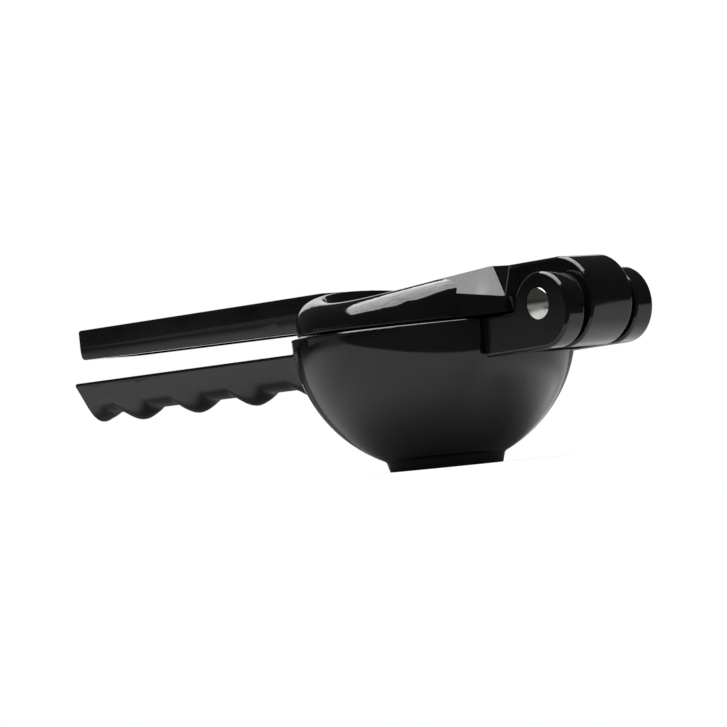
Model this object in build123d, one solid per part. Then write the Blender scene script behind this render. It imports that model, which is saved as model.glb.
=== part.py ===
import math
import os

from build123d import *

# Hand citrus press. Millimetres, +Z up, +X towards the hinge, pin along Y.
# The origin is the centre of the flat foot under the bowl.

# Bowl and foot
bowl_radius = 38.0
bowl_sink = 0.7
bowl_wall = 3.0
rim_rise = 0.2
rim_gap = 0.5
rim_round = 0.6
foot_radius = 15.1
foot_flare = 0.9
foot_edge_round = 0.4
foot_waist_round = 0.8
drain_hole_radius = 1.6
drain_rings = ((4.2, 6), (8.8, 12))

# Hinge
hinge_reach = 18.8
hinge_lift = 1.4
pin_radius = 4.15
pin_fit = 0.02
running_fit = 0.05
bush_wall = 1.5
barrel_radius = 11.6
barrel_half_width = 7.3
washer_thickness = 1.4
washer_play = 0.1
washer_radius = 7.2
ear_thickness = 6.4
ear_radius = 9.75
ear_drop = 1.75
ear_lead = 0.9
ear_corner_round = 2.0
fork_overlap = 1.7
fork_under_drop = 0.4
neck_inset = 2.8
tongue_clearance = 0.6
edge_round = 0.9
barrel_edge_round = 0.9
barrel_crown = 0.05
pin_stand = 0.3
pin_dome = 0.4
pin_round = 0.35

# Press cup
cup_inset = 1.7
cup_lip_width = 6.9
cup_height = 12.2
cup_round = 6.4
cup_base_round = 0.5
scoop_depth = 4.6
dome_side_gap = 5.0
dome_floor_gap = 10.7
dome_wall = 3.0
shoulder_foot_reach = 6.8
shoulder_top_reach = 1.0
shoulder_ramp = 2.9
shoulder_foot_half = 15.0
shoulder_lean_rise = 4.0
shoulder_lean = 0.49
shoulder_lean_climb = 0.16
shoulder_taper = 0.26
shoulder_edge = 0.6

# Handles
handle_half_width = 10.0
handle_wall = 3.0
upper_length = 106.5
upper_tip_depth = 8.8
upper_root_depth = 10.0
upper_bend_tip = 5.2
upper_bend_root = 4.6
upper_tuck = 0.6
lower_length = 111.7
lower_top_drop = 2.7
handle_depth = 9.65
flank_lean = 0.58
keel_height = 4.5
ridge_start = 38.6
ridge_pitch = 26.5
ridge_count = 4
ridge_half_length = 7.0
ridge_power = 0.95
ridge_drop = 2.95
end_ridge_out = 0.3
end_ridge_drop = 2.1
root_flare_start = 19.0
root_flare = 0.38
root_flare_power = 1.15
root_sink = 0.6
section_step = 1.8
section_points = 6
handle_edge = 0.7
handle_tip_round = 0.6

# Sizes that follow from the ones above
bowl_inner_radius = bowl_radius - bowl_wall
bowl_centre_z = bowl_radius - bowl_sink
rim_z = bowl_centre_z + rim_rise
hinge_x = bowl_radius + hinge_reach
hinge_z = rim_z + hinge_lift
fork_slot_half = barrel_half_width + washer_thickness + 2 * washer_play
fork_half_width = fork_slot_half + ear_thickness
fork_start_x = bowl_radius - fork_overlap
neck_half_width = fork_half_width - neck_inset
ear_x = hinge_x + ear_lead
ear_z = hinge_z - ear_drop
fork_under_z = ear_z - ear_radius
slot_start_x = hinge_x - barrel_radius - tongue_clearance
bush_inner_radius = pin_radius + running_fit
bush_outer_radius = bush_inner_radius + bush_wall
pin_end_radius = (pin_radius ** 2 + pin_dome ** 2) / (2 * pin_dome)
cup_base_z = rim_z + rim_gap
cup_top_z = cup_base_z + cup_height
cup_radius = bowl_radius - cup_inset
cup_lip_radius = cup_radius - cup_lip_width
dome_rim_radius = bowl_inner_radius - dome_side_gap
dome_bottom_z = bowl_centre_z - bowl_inner_radius + dome_floor_gap
dome_depth = cup_base_z - dome_bottom_z
dome_radius = (dome_rim_radius ** 2 + dome_depth ** 2) / (2 * dome_depth)
dome_centre_z = dome_bottom_z + dome_radius
scoop_radius = (cup_lip_radius ** 2 + scoop_depth ** 2) / (2 * scoop_depth)
shoulder_foot_x = bowl_radius + shoulder_foot_reach
shoulder_top_x = bowl_radius + shoulder_top_reach
shoulder_start_x = cup_lip_radius / 2
shoulder_lean_z = cup_base_z + shoulder_lean_rise
upper_tip_x = -bowl_radius - upper_length
lower_tip_x = -bowl_radius - lower_length
lower_top_z = rim_z - lower_top_drop
handle_end_x = -bowl_inner_radius + handle_wall
root_floor_z = bowl_centre_z - math.sqrt(bowl_radius ** 2 - handle_end_x ** 2) + root_sink
root_flare_x = -bowl_radius - root_flare_start
ridge_xs = [-bowl_radius - ridge_start - i * ridge_pitch for i in range(ridge_count - 1)]
end_ridge_x = lower_tip_x - end_ridge_out


def slab(half_width, *points):
    """Straight-sided outline in the XZ plane, thickened evenly about Y = 0."""
    outline = Plane.XZ * make_face(Polyline(*points, close=True))
    return extrude(outline, amount=half_width, both=True)


def rod(radius, x, z, y0, y1):
    """Cylinder along Y between two Y positions."""
    disc = Plane.XZ.offset(-y0) * Pos(x, z) * Circle(radius)
    return extrude(disc, amount=y0 - y1)


def spun(outline):
    """Solid of revolution about Z from an outline in the XZ plane."""
    return revolve(Plane.XZ * outline, axis=Axis.Z)


def ball(radius, z):
    return Pos(0, 0, z) * Sphere(radius)


def hump(distance):
    """Smooth ridge of unit height that fades to nothing at its half length."""
    if abs(distance) >= ridge_half_length:
        return 0.0
    return math.cos(math.pi * distance / (2 * ridge_half_length)) ** ridge_power


def lower_depth(x):
    """Depth of the lower handle under its top at one place along it; its root runs level into the bowl."""
    depth = handle_depth
    for ridge_x in ridge_xs:
        depth += ridge_drop * hump(x - ridge_x)
    depth += end_ridge_drop * hump(x - end_ridge_x)
    depth += root_flare * max(0.0, x - root_flare_x) ** root_flare_power
    return min(depth, lower_top_z - root_floor_z)


def lean_at(depth):
    """Lean of the lower handle's sides, which is less where the handle is deeper than its ridges."""
    return flank_lean * min(1.0, (handle_depth + ridge_drop) / depth)


def keel_curve(half_width, depth, start_depth):
    """Leaning sides and rounded keel of a section across the lower handle, from a little under its top."""
    lean = lean_at(depth)
    flank_depth = depth - keel_height
    flank_half = half_width - lean * flank_depth
    pull = flank_half - lean * keel_height
    right = []
    for i in range(section_points):
        down = start_depth + (flank_depth - start_depth) * i / section_points
        right.append((half_width - lean * down, -down))
    for i in range(section_points):
        t = i / section_points
        across = (1 - t) ** 2 * flank_half + 2 * t * (1 - t) * pull
        right.append((across, -depth + (1 - t) ** 2 * keel_height))
    left = [(-across, down) for across, down in reversed(right)]
    points = [*right, (0, -depth), *left]
    stops = [i / (len(points) - 1) for i in range(len(points))]
    return Edge.make_spline(points, parameters=stops)


def cross_plane(x):
    return Plane(origin=(x, 0, lower_top_z), x_dir=(0, 1, 0), z_dir=(1, 0, 0))


def keel_section(x, depth):
    """Section across the lower handle: flat top with rounded edges, then the sides and keel."""
    slope = math.atan(lean_at(depth))
    corner = math.pi / 4 - slope / 2
    edge_run = handle_edge / math.tan(corner)
    curve = keel_curve(handle_half_width, depth, edge_run * math.cos(slope))
    top_half = handle_half_width - edge_run
    middle = (top_half + handle_edge * math.cos(corner), handle_edge * (math.sin(corner) - 1))
    right = ThreePointArc((top_half, 0), middle, curve @ 0)
    left = ThreePointArc(curve @ 1, (-middle[0], middle[1]), (-top_half, 0))
    top = Line((-top_half, 0), (top_half, 0))
    return cross_plane(x) * make_face([right, curve, left, top])


def channel_section(x):
    """Section of the channel in the lower handle, open at the top."""
    curve = keel_curve(handle_half_width - handle_wall, handle_depth - handle_wall, 0.0)
    return cross_plane(x) * make_face([curve, Line(curve @ 1, curve @ 0)])


def lower_handle():
    """Keel-shaped bar with finger ridges across its underside."""
    count = round((handle_end_x - lower_tip_x) / section_step)
    xs = [lower_tip_x + (handle_end_x - lower_tip_x) * i / count for i in range(count + 1)]
    bar = loft([keel_section(x, lower_depth(x)) for x in xs])
    return fillet(bar.faces().sort_by(Axis.X)[0].edges(), handle_tip_round)


def fork():
    """Block with two ears; the slot for the tongue runs out through the end."""
    block = Polyline(
        (fork_start_x, fork_under_z - fork_under_drop),
        (ear_x, fork_under_z),
        (ear_x, rim_z),
        (fork_start_x, rim_z),
        close=True,
    )
    outline = make_face(block)
    outline += Pos(ear_x, ear_z) * Circle(ear_radius)
    corner = [v for v in outline.vertices() if abs(v.Y - rim_z) < 0.01 and v.X > slot_start_x]
    outline = fillet(corner, ear_corner_round)
    solid = extrude(Plane.XZ * outline, amount=fork_half_width, both=True)
    rims = [e for f in solid.faces().filter_by(Axis.Y) for e in f.edges()]
    rims = [e for e in rims if e.center().X > fork_start_x + 0.1]
    solid = fillet(ShapeList(rims), edge_round)
    solid -= Pos(slot_start_x + 50, 0, ear_z) * Box(100, 2 * fork_slot_half, 100)
    inner = [e for e in solid.edges() if abs(abs(e.center().Y) - fork_slot_half) < 0.01]
    inner = [e for e in inner if e.center().X > slot_start_x + 0.1]
    return fillet(ShapeList(inner), edge_round)


def lower_body():
    handle = lower_handle()
    shell = ball(bowl_radius, bowl_centre_z)
    foot_top_z = bowl_centre_z - math.sqrt(bowl_radius ** 2 - (foot_radius + foot_flare) ** 2)
    foot = Polyline(
        (0, 0),
        (foot_radius, 0),
        (foot_radius + foot_flare, foot_top_z + 0.3),
        (0, foot_top_z + 4),
        close=True,
    )
    shell += spun(make_face(foot))
    shell &= Pos(0, 0, rim_z / 2) * Box(200, 200, rim_z)
    rounds = shell.edges().filter_by(GeomType.CIRCLE)
    waist = [e for e in rounds if 1.0 < e.center().Z < 8 and e.radius > foot_radius]
    shell = fillet(waist, foot_waist_round)
    top = [e for e in shell.edges().filter_by(GeomType.CIRCLE) if abs(e.center().Z - rim_z) < 0.01]
    shell = fillet(top, rim_round)
    base = [e for e in shell.edges().filter_by(GeomType.CIRCLE) if abs(e.center().Z) < 0.01]
    shell = fillet(base, foot_edge_round)
    neck = slab(
        neck_half_width,
        (bowl_inner_radius * 0.8, fork_under_z),
        (fork_start_x + 1, fork_under_z),
        (fork_start_x + 1, rim_z),
        (bowl_inner_radius * 0.8, rim_z),
    )
    body = shell + neck + fork() + handle
    channel_x0 = lower_tip_x + handle_wall
    channel_x1 = -bowl_radius - handle_wall
    body -= extrude(channel_section(channel_x0), amount=channel_x1 - channel_x0)
    body -= ball(bowl_inner_radius, bowl_centre_z)
    for ring_radius, count in drain_rings:
        for i in range(count):
            body -= Rot(0, 0, 360 * i / count) * Pos(ring_radius, 0, 5) * Cylinder(drain_hole_radius, 20)
    body -= rod(pin_radius + pin_fit, hinge_x, hinge_z, -60, 60)
    return body


def upper_section(x, bend_z, under_z):
    """Section across the upper handle: upright sides that curve in towards the underside."""
    half = handle_half_width
    low_half = half - upper_tuck
    middle = (half - upper_tuck / 4, (bend_z + under_z) / 2)
    outline = [
        Line((-half, cup_top_z), (-half, bend_z)),
        ThreePointArc((-half, bend_z), (-middle[0], middle[1]), (-low_half, under_z)),
        Line((-low_half, under_z), (low_half, under_z)),
        ThreePointArc((low_half, under_z), middle, (half, bend_z)),
        Line((half, bend_z), (half, cup_top_z)),
        Line((half, cup_top_z), (-half, cup_top_z)),
    ]
    plane = Plane(origin=(x, 0, 0), x_dir=(0, 1, 0), z_dir=(1, 0, 0))
    return plane * make_face(outline)


def upper_handle():
    """Slim bar whose top stays level, with rounded edges and an open channel beneath."""
    root_x = -cup_radius + handle_wall
    tip = upper_section(upper_tip_x, cup_top_z - upper_bend_tip, cup_top_z - upper_tip_depth)
    root = upper_section(root_x, cup_top_z - upper_bend_root, cup_top_z - upper_root_depth)
    bar = loft([tip, root], ruled=True)
    under = bar.faces().sort_by(Axis.Z)[0].edges()
    crown = bar.faces().sort_by(Axis.Z)[-1].edges()
    rim = [e for e in under + crown if e.center().X < root_x - 1]
    bar = fillet(ShapeList(rim), handle_edge)
    channel_half = handle_half_width - handle_wall
    channel_x0 = upper_tip_x + 2 * handle_wall
    channel_x1 = -cup_radius - handle_wall
    channel = Pos((channel_x0 + channel_x1) / 2, 0, cup_top_z - handle_wall - 25)
    channel *= Box(channel_x1 - channel_x0, 2 * channel_half, 50)
    return bar - fillet(channel.edges().filter_by(Axis.Z), handle_wall)


def above_ramp():
    """Space over the slope that climbs from the cup to the top of the shoulder."""
    return slab(
        60,
        (shoulder_start_x, cup_top_z - shoulder_ramp),
        (shoulder_top_x, cup_top_z),
        (shoulder_top_x, cup_top_z + 9),
        (shoulder_start_x, cup_top_z + 9),
    )


def tongue():
    """Flat-sided tongue ending in the round barrel that sits between the ears."""
    barrel = rod(barrel_radius, hinge_x, hinge_z, -barrel_half_width, barrel_half_width)
    barrel = fillet(barrel.edges().filter_by(GeomType.CIRCLE), barrel_edge_round)
    bar = slab(
        barrel_half_width,
        (dome_rim_radius, cup_base_z),
        (hinge_x, cup_base_z),
        (hinge_x, hinge_z + barrel_radius - barrel_crown),
        (shoulder_top_x, cup_top_z),
        (dome_rim_radius, cup_top_z),
    )
    rims = [e for e in bar.edges() if e.bounding_box().size.X > 1 and e.bounding_box().size.Y < 0.1]
    bar = fillet(ShapeList(rims), barrel_edge_round)
    return barrel + bar - above_ramp()


def scoop():
    """Wide shallow trough across the top of the cup."""
    return rod(scoop_radius, 0, cup_top_z - scoop_depth + scoop_radius, -60, 60)


def shoulder_section(x):
    """Section of the shoulder: upright sides low down, leaning in towards a flat top."""
    foot_half = shoulder_foot_half + shoulder_taper * (shoulder_foot_x - x)
    lean_z = shoulder_lean_z + shoulder_lean_climb * (shoulder_foot_x - x)
    top_half = foot_half - shoulder_lean * (cup_top_z - lean_z)
    section = Polyline(
        (-foot_half, cup_base_z),
        (-foot_half, lean_z),
        (-top_half, cup_top_z),
        (top_half, cup_top_z),
        (foot_half, lean_z),
        (foot_half, cup_base_z),
        close=True,
    )
    plane = Plane(origin=(x, 0, 0), x_dir=(0, 1, 0), z_dir=(1, 0, 0))
    return plane * make_face(section)


def shoulder():
    """Wide root of the tongue, drawing in from the cup towards the hinge."""
    solid = loft([shoulder_section(shoulder_start_x), shoulder_section(hinge_x)], ruled=True)
    solid &= slab(
        60,
        (shoulder_start_x, cup_base_z),
        (shoulder_foot_x, cup_base_z),
        (shoulder_foot_x, shoulder_lean_z),
        (shoulder_top_x, cup_top_z),
        (shoulder_start_x, cup_top_z),
    )
    solid -= above_ramp() + scoop()
    raised = [e for e in solid.edges() if e.center().Z > cup_base_z + 0.1]
    end = [e for e in raised if e.center().X > shoulder_top_x - 0.5]
    return fillet(ShapeList(end), shoulder_edge)


def upper_body():
    blank_height = cup_top_z + 6 - cup_base_z
    cup = Pos(0, 0, cup_base_z + blank_height / 2) * Cylinder(cup_radius, blank_height)
    cup -= scoop()
    crest = [e for e in cup.edges() if e.center().Z > cup_base_z + 1 and e.bounding_box().size.Y > 1]
    cup = fillet(ShapeList(crest), cup_round)
    cup &= Pos(0, 0, cup_top_z - 50) * Box(200, 200, 100)
    cup = fillet(cup.edges().group_by(Axis.Z)[0], cup_base_round)
    dome = ball(dome_radius, dome_centre_z) & Pos(0, 0, cup_base_z - 49.9) * Box(200, 200, 100)
    hollow_radius = dome_radius - dome_wall
    hollow = Polyline(
        (0, dome_centre_z - 1),
        (hollow_radius, dome_centre_z),
        (cup_lip_radius, cup_top_z),
        (cup_lip_radius, cup_top_z + 9),
        (0, cup_top_z + 9),
        close=True,
    )
    body = cup + dome + shoulder() + tongue() + upper_handle()
    body -= spun(make_face(hollow)) + ball(hollow_radius, dome_centre_z)
    body -= rod(bush_outer_radius + pin_fit, hinge_x, hinge_z, -60, 60)
    return body


def hinge_pin():
    """Plain pin with slightly domed ends."""
    half_length = fork_half_width + pin_stand
    pin = rod(pin_radius, hinge_x, hinge_z, -half_length, half_length)
    for side in (-1, 1):
        pin &= Pos(hinge_x, side * (half_length - pin_end_radius), hinge_z) * Sphere(pin_end_radius)
    return fillet(pin.edges().filter_by(GeomType.CIRCLE), pin_round)


def hinge_bush():
    sleeve = rod(bush_outer_radius, hinge_x, hinge_z, -barrel_half_width, barrel_half_width)
    return sleeve - rod(bush_inner_radius, hinge_x, hinge_z, -60, 60)


def thrust_washers():
    near = barrel_half_width + washer_play
    far = near + washer_thickness
    rings = []
    for side in (-1, 1):
        ring = rod(washer_radius, hinge_x, hinge_z, side * near, side * far)
        rings.append(ring - rod(bush_inner_radius, hinge_x, hinge_z, -60, 60))
    return Compound(children=rings)


os.makedirs("parts", exist_ok=True)
for make in (lower_body, upper_body, hinge_pin, hinge_bush, thrust_washers):
    shape = make()
    print(make.__name__, shape.is_valid, len(shape.solids()), round(shape.volume), shape.bounding_box())
    export_step(shape, "parts/" + make.__name__ + ".step")
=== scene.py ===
import math

import bpy
import numpy as np
from mathutils import Matrix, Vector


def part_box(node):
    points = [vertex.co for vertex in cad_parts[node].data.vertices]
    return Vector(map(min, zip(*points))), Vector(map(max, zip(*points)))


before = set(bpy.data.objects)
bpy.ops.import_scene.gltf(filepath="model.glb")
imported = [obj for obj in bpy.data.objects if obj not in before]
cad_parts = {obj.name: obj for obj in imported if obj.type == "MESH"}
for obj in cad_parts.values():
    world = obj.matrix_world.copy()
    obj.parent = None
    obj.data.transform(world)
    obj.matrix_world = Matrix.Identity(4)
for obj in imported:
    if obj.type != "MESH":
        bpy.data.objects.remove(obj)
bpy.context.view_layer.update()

# The photograph's frame and the camera that was fitted to it.
IMAGE_SIZE = 727
FOCAL_PX = 3570.0
BOWL_CENTRE = np.array([0.0, 0.0, 0.0373])
BOWL_PIXEL = (433.0, 327.5)
CAMERA_DISTANCE = 0.950
CAMERA_AZIMUTH = math.radians(48.0)
CAMERA_HEIGHT = 0.0049
CAMERA_ROLL = math.radians(5.73)

# Directions on the table as the camera sees them.
TO_CAMERA = np.array([math.sin(CAMERA_AZIMUTH), -math.cos(CAMERA_AZIMUTH), 0.0])
TO_LEFT = np.array([-math.cos(CAMERA_AZIMUTH), -math.sin(CAMERA_AZIMUTH), 0.0])
UP = np.array([0.0, 0.0, 1.0])

# Light levels. A level of 1 shows a white surface as white.
TABLE_WHITE = 0.58
BELOW_TABLE = 0.06
ROOM_DARK = 0.045
AMBIENT = 0.60
SOFT_BOX_GLOW = 6.5
SOFT_BOX_POWER = 19.0
BULB_GLOW = 9.0
BACKDROP_GLOW = 1.0
STRIP_GLOW = 0.26
FLOOR_SEEN = 0.84
FLOOR_PALE = 0.22

# Places and sizes of the stage.
FLOOR_HALF = 30.0
SOFT_BOX_X = (-0.87, 0.50)
SOFT_BOX_Y = (-1.30, 0.55)
SOFT_BOX_HEIGHT = 1.045
BULB_PLACE = (-0.362, -0.953, SOFT_BOX_HEIGHT)
BULB_RADIUS = 0.013
BACKDROP_DISTANCE = 1.2
BACKDROP_SIDES = (0.38, 0.6)
BACKDROP_HEIGHT = 0.54
STRIP_PLACE = np.array([-0.74, -0.68, 0.0])
STRIP_SIDE = np.array([0.68, -0.74, 0.0])
STRIP_HALF = 0.45
STRIP_HEIGHT = 0.13
STRIP_FADE = (0.052, 0.1014)


def turned(axis_from, axis_to):
    """Smallest turn that takes one unit direction onto another."""
    v = np.cross(axis_from, axis_to)
    c = axis_from @ axis_to
    k = np.array([[0, -v[2], v[1]], [v[2], 0, -v[0]], [-v[1], v[0], 0]])
    return np.eye(3) + k + k @ k / (1 + c)


def unit(v):
    return v / np.linalg.norm(v)


def place_camera():
    """Camera that looks at the bowl, rolled, and swung so that the bowl falls on its pixel."""
    drop = CAMERA_HEIGHT - BOWL_CENTRE[2]
    reach = math.sqrt(CAMERA_DISTANCE ** 2 - drop ** 2)
    eye = np.array([reach * math.sin(CAMERA_AZIMUTH), -reach * math.cos(CAMERA_AZIMUTH), CAMERA_HEIGHT])
    look = unit(BOWL_CENTRE - eye)
    right = unit(np.cross(look, [0, 0, 1]))
    level = np.stack([right, np.cross(right, look), -look], 1)
    c, s = math.cos(CAMERA_ROLL), math.sin(CAMERA_ROLL)
    roll = np.array([[c, s, 0], [-s, c, 0], [0, 0, 1]])
    half = IMAGE_SIZE / 2
    pixel = unit(np.array([(BOWL_PIXEL[0] - half) / FOCAL_PX, (half - BOWL_PIXEL[1]) / FOCAL_PX, -1.0]))
    pose = np.eye(4)
    pose[:3, :3] = level @ roll @ turned(pixel, np.array([0, 0, -1.0]))
    pose[:3, 3] = eye
    data = bpy.data.cameras.new("photo_camera")
    data.sensor_width = 36.0
    data.lens = FOCAL_PX * 36.0 / IMAGE_SIZE
    data.clip_start = 0.01
    camera = bpy.data.objects.new("photo_camera", data)
    bpy.context.collection.objects.link(camera)
    camera.matrix_world = Matrix(pose.tolist())
    bpy.context.scene.camera = camera


class Nodes:
    """Short way to write a node tree."""

    def __init__(self, tree):
        self.tree = tree
        tree.nodes.clear()

    def add(self, kind, inputs=None, **props):
        node = self.tree.nodes.new("ShaderNode" + kind)
        for name, value in props.items():
            setattr(node, name, value)
        for name, value in (inputs or {}).items():
            self.feed(node.inputs[name], value)
        return node

    def feed(self, socket, value):
        if isinstance(value, bpy.types.NodeSocket):
            self.tree.links.new(value, socket)
        else:
            socket.default_value = value

    def math(self, operation, a, b=0.0, c=0.0, clamp=False):
        node = self.add("Math", {0: a, 1: b, 2: c}, operation=operation, use_clamp=clamp)
        return node.outputs[0]

    def span(self, value, low, high, to_low=0.0, to_high=1.0, smooth=False):
        kind = "SMOOTHSTEP" if smooth else "LINEAR"
        inputs = {"Value": value, "From Min": low, "From Max": high, "To Min": to_low, "To Max": to_high}
        return self.add("MapRange", inputs, interpolation_type=kind).outputs[0]

    def mix(self, factor, a, b):
        node = self.add("Mix", data_type="RGBA")
        self.feed(node.inputs[0], factor)
        self.feed(node.inputs[6], a)
        self.feed(node.inputs[7], b)
        return node.outputs[2]

    def noise(self, place, scale, detail=2.0, rough=0.5):
        inputs = {"Vector": place, "Scale": scale, "Detail": detail, "Roughness": rough}
        return self.add("TexNoise", inputs).outputs[0]


def new_material(name):
    material = bpy.data.materials.new(name)
    material.use_nodes = True
    return material, Nodes(material.node_tree)


def grey(level):
    return (level, level, level, 1.0)


def black_enamel():
    """Gloss black enamel: slow unevenness of the casting, fine orange peel, faint wear in the gloss."""
    material, n = new_material("black_enamel_finish")
    place = n.add("TexCoord").outputs["Object"]
    cloud = n.noise(place, 60.0, 3.0)
    wipe = n.noise(place, 260.0, 4.0, 0.6)
    peel = n.noise(place, 900.0, 1.0)
    swell = n.noise(place, 45.0, 1.0)
    colour = n.mix(n.span(cloud, 0.35, 0.65), (0.0036, 0.0036, 0.0038, 1), (0.0056, 0.0056, 0.0058, 1))
    gloss = n.math("ADD", n.span(cloud, 0.3, 0.7, 0.05, 0.075), n.span(wipe, 0.45, 0.75, 0.0, 0.03))
    broad = n.add("Bump", {"Strength": 0.5, "Distance": 0.00025, "Height": swell})
    fine = n.add("Bump", {"Strength": 0.25, "Distance": 0.000012, "Height": peel, "Normal": broad.outputs[0]})
    inputs = {"Base Color": colour, "Roughness": gloss, "IOR": 1.5, "Normal": fine.outputs[0]}
    skin = n.add("BsdfPrincipled", inputs)
    n.add("OutputMaterial", {"Surface": skin.outputs[0]})
    return material


def pin_steel():
    """Bright turned steel: fine rings about the pin's axis."""
    material, n = new_material("pin_steel_finish")
    place = n.add("TexCoord").outputs["Object"]
    low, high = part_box("hinge_pin")
    centre = n.add("Mapping", {"Vector": place, "Location": [-(a + b) / 2 for a, b in zip(low, high)]})
    xyz = n.add("SeparateXYZ", {"Vector": centre.outputs[0]})
    across = n.math("POWER", xyz.outputs[0], 2.0)
    upward = n.math("POWER", xyz.outputs[2], 2.0)
    radius = n.math("SQRT", n.math("ADD", across, upward))
    ring_place = n.add("CombineXYZ", {"X": n.math("MULTIPLY", radius, 40.0), "Y": xyz.outputs[1]})
    rings = n.noise(ring_place.outputs[0], 90.0, 2.0)
    stain = n.noise(place, 500.0, 3.0)
    colour = n.mix(n.span(stain, 0.3, 0.7), (0.64, 0.64, 0.62, 1), (0.78, 0.765, 0.71, 1))
    gloss = n.span(rings, 0.3, 0.7, 0.09, 0.15)
    bump = n.add("Bump", {"Strength": 0.12, "Distance": 0.000004, "Height": rings})
    inputs = {"Base Color": colour, "Metallic": 1.0, "Roughness": gloss, "Normal": bump.outputs[0]}
    skin = n.add("BsdfPrincipled", inputs)
    n.add("OutputMaterial", {"Surface": skin.outputs[0]})
    return material


def bush_plastic():
    """Natural moulded acetal: milky, with a fine moulded grain."""
    material, n = new_material("bush_plastic_finish")
    place = n.add("TexCoord").outputs["Object"]
    cloud = n.noise(place, 300.0, 3.0)
    grain = n.noise(place, 3000.0, 2.0)
    colour = n.mix(n.span(cloud, 0.3, 0.7), (0.70, 0.69, 0.64, 1), (0.80, 0.79, 0.75, 1))
    bump = n.add("Bump", {"Strength": 0.3, "Distance": 0.00002, "Height": grain})
    gloss = n.span(cloud, 0.3, 0.7, 0.38, 0.5)
    skin = n.add("BsdfPrincipled", {"Base Color": colour, "Roughness": gloss, "Normal": bump.outputs[0]})
    n.add("OutputMaterial", {"Surface": skin.outputs[0]})
    return material


def dress(node, material):
    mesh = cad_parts[node].data
    for i in range(len(mesh.materials)):
        mesh.materials[i] = material


def sheet(name, corners, material):
    """Flat four-cornered stage sheet."""
    mesh = bpy.data.meshes.new(name)
    mesh.from_pydata([tuple(c) for c in corners], [], [(0, 1, 2, 3)])
    obj = bpy.data.objects.new(name, mesh)
    bpy.context.collection.objects.link(obj)
    mesh.materials.append(material)
    return obj


def emitter(material, n, strength):
    lamp = n.add("Emission", {"Color": grey(1.0), "Strength": strength})
    n.add("OutputMaterial", {"Surface": lamp.outputs[0]})
    return material


def soft_box_glow():
    """Lit cloth of the soft box: a little uneven, one corner dark, with the bulb showing through."""
    material, n = new_material("soft_box_glow")
    place = n.add("TexCoord").outputs["Object"]
    xyz = n.add("SeparateXYZ", {"Vector": place})
    cloth = n.span(n.noise(place, 7.0, 3.0), 0.3, 0.7, 0.75, 1.25)
    corner = n.math("MULTIPLY", n.span(xyz.outputs[0], 0.2, 0.26), n.span(xyz.outputs[1], -0.85, -0.9))
    cloth = n.math("MULTIPLY", cloth, n.span(corner, 0.0, 1.0, SOFT_BOX_GLOW, 0.0))
    off_bulb = n.add("VectorMath", {0: place, 1: BULB_PLACE}, operation="DISTANCE").outputs["Value"]
    bulb = n.span(off_bulb, 0.0, BULB_RADIUS, BULB_GLOW, 0.0, smooth=True)
    return emitter(material, n, n.math("ADD", cloth, bulb))


def backdrop_glow():
    """Evenly lit white card."""
    material, n = new_material("backdrop_glow")
    return emitter(material, n, BACKDROP_GLOW)


def strip_glow():
    """Pale low strip that fades out upwards."""
    material, n = new_material("far_strip_glow")
    xyz = n.add("SeparateXYZ", {"Vector": n.add("TexCoord").outputs["Object"]})
    return emitter(material, n, n.span(xyz.outputs[2], *STRIP_FADE, STRIP_GLOW, 0.0, smooth=True))


def reflection_only(obj):
    obj.visible_camera = False
    obj.visible_diffuse = False
    obj.visible_shadow = False
    obj.visible_transmission = False


def table_reflected(n, place, reach):
    """Table as the coat mirrors it: a pale top that ends at a curved front edge, over a dark room, with
    painted shade and shadow near the press and a painted light patch beside the foot.
    """
    xyz = n.add("SeparateXYZ", {"Vector": place})
    x, y = xyz.outputs[0], xyz.outputs[1]
    ahead = n.add("VectorMath", {0: place, 1: TO_CAMERA}, operation="DOT_PRODUCT").outputs["Value"]
    left = n.add("VectorMath", {0: place, 1: TO_LEFT}, operation="DOT_PRODUCT").outputs["Value"]
    edge = n.span(left, -0.22, 0.13, 0.06, 0.133, smooth=True)
    on_table = n.span(n.math("SUBTRACT", edge, ahead), -0.002, 0.002, smooth=True)

    # Painted shade behind the press at the left, and painted shadow under the handles.
    behind = n.span(ahead, -0.30, -0.02, 0.75, 0.0, smooth=True)
    behind = n.math("MULTIPLY", behind, n.span(left, -0.02, 0.06, smooth=True))
    painted_shadow_under = n.span(y, -0.019, -0.004, 0.0, 0.7, smooth=True)
    painted_shadow_under = n.math("MULTIPLY", painted_shadow_under, n.span(x, -0.045, -0.035, 1.0, 0.0, smooth=True))

    # Painted light: a brighter patch on the table beside the foot, under the hinge.
    painted_light_beside = n.math("MULTIPLY", n.span(x, 0.005, 0.02), n.span(y, -0.025, 0.0, smooth=True))
    painted_light_beside = n.math("MULTIPLY", painted_light_beside, n.span(reach, 0.06, 0.10, 1.0, 0.0, smooth=True))

    # Painted contact shadow: the table darker close to the foot.
    painted_foot_shadow = n.span(reach, 0.018, 0.050, 0.5, 1.0, smooth=True)
    # Painted shade: the table darker towards the far left and along the handle side.
    painted_far_left_shade = n.span(left, 0.2, 0.6, 1.0, 0.3, smooth=True)
    painted_handle_side_shade = n.span(x, -0.05, -0.015, 0.92, 1.0, smooth=True)
    cloudy = n.span(n.noise(place, 9.0, 3.0), 0.3, 0.7, 0.96, 1.04)
    shade = n.span(on_table, 0.0, 1.0, BELOW_TABLE, TABLE_WHITE)
    for level in (
        n.math("SUBTRACT", 1.0, behind),
        n.math("SUBTRACT", 1.0, painted_shadow_under),
        n.span(painted_light_beside, 0.0, 1.0, 1.0, 1.85),
        painted_foot_shadow,
        painted_far_left_shade,
        painted_handle_side_shade,
        cloudy,
    ):
        shade = n.math("MULTIPLY", shade, level)
    tint = n.add("CombineColor", {"Red": shade, "Green": shade, "Blue": shade})
    return n.add("BsdfDiffuse", {"Color": tint.outputs[0]})


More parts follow.
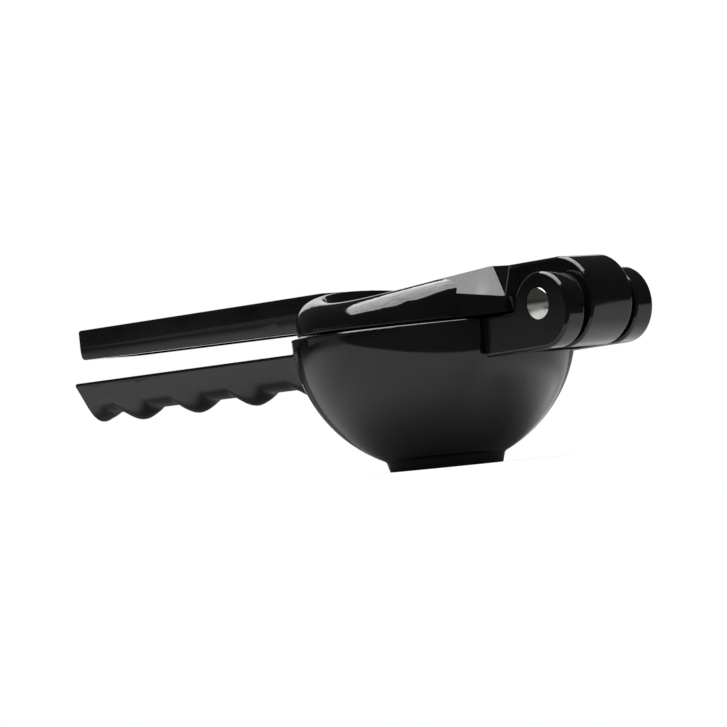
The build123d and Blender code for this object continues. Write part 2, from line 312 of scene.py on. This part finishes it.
def table_seen(n, reach):
    """Table as the camera sees it: white, with the press's shadow near the foot."""
    near = n.span(reach, 0.25, 0.6, 1.0, 0.0, smooth=True)
    pale = n.add("BsdfDiffuse", {"Color": n.mix(near, grey(0.0), grey(FLOOR_PALE))})
    white = n.add("Emission", {"Color": grey(1.0), "Strength": n.span(near, 0.0, 1.0, 1.0, FLOOR_SEEN)})
    return n.add("AddShader", {0: pale.outputs[0], 1: white.outputs[0]})


def table_material():
    material, n = new_material("table")
    place = n.add("TexCoord").outputs["Object"]
    reach = n.add("VectorMath", {0: place}, operation="LENGTH").outputs["Value"]
    mirrored = table_reflected(n, place, reach)
    seen = table_seen(n, reach)
    camera_ray = n.add("LightPath").outputs["Is Camera Ray"]
    both = n.add("MixShader", {0: camera_ray, 1: mirrored.outputs[0], 2: seen.outputs[0]})
    n.add("OutputMaterial", {"Surface": both.outputs[0]})
    return material


def floor():
    r = FLOOR_HALF
    sheet("floor", [(-r, -r, 0), (r, -r, 0), (r, r, 0), (-r, r, 0)], table_material())


def room():
    """White to the camera, dark in reflections, and a soft fill for everything else."""
    world = bpy.data.worlds.new("room")
    bpy.context.scene.world = world
    world.use_nodes = True
    n = Nodes(world.node_tree)
    path = n.add("LightPath")
    fill = n.add("Background", {"Color": grey(1.0), "Strength": AMBIENT})
    dark = n.add("Background", {"Color": grey(1.0), "Strength": ROOM_DARK})
    white = n.add("Background", {"Color": grey(1.0), "Strength": 1.0})
    unseen = n.add("MixShader", {0: path.outputs["Is Glossy Ray"], 1: fill.outputs[0], 2: dark.outputs[0]})
    seen = n.add("MixShader", {0: path.outputs["Is Camera Ray"], 1: unseen.outputs[0], 2: white.outputs[0]})
    n.add("OutputWorld", {"Surface": seen.outputs[0]})


def soft_box():
    """Overhead soft box: a face that shows in reflections, and an area lamp just above it."""
    (x0, x1), (y0, y1), height = SOFT_BOX_X, SOFT_BOX_Y, SOFT_BOX_HEIGHT
    corners = [(x0, y0, height), (x0, y1, height), (x1, y1, height), (x1, y0, height)]
    reflection_only(sheet("soft_box_face", corners, soft_box_glow()))

    lamp = bpy.data.lights.new("soft_box", "AREA")
    lamp.shape = "RECTANGLE"
    lamp.size = x1 - x0
    lamp.size_y = y1 - y0
    lamp.energy = SOFT_BOX_POWER
    light = bpy.data.objects.new("soft_box", lamp)
    bpy.context.collection.objects.link(light)
    light.location = ((x0 + x1) / 2, (y0 + y1) / 2, height + 0.01)
    light.visible_glossy = False
    light.visible_camera = False


def upright_card(name, start, end, height, material):
    """Upright sheet on the table between two places, seen in reflections only."""
    reflection_only(sheet(name, [start, end, end + height * UP, start + height * UP], material))


def studio():
    """Pale table, one overhead soft box, white card behind, low strip at the left, dark room."""
    floor()
    room()
    soft_box()
    behind = -BACKDROP_DISTANCE * TO_CAMERA
    start = behind + BACKDROP_SIDES[0] * TO_LEFT
    end = behind - BACKDROP_SIDES[1] * TO_LEFT
    upright_card("backdrop_card", start, end, BACKDROP_HEIGHT, backdrop_glow())
    half = STRIP_HALF * STRIP_SIDE
    upright_card("far_strip", STRIP_PLACE - half, STRIP_PLACE + half, STRIP_HEIGHT, strip_glow())


bpy.context.scene.view_settings.view_transform = "Standard"
place_camera()
studio()

enamel = black_enamel()
plastic = bush_plastic()
dress("lower_body", enamel)
dress("upper_body", enamel)
dress("hinge_pin", pin_steel())
dress("hinge_bush", plastic)
dress("thrust_washers", plastic)
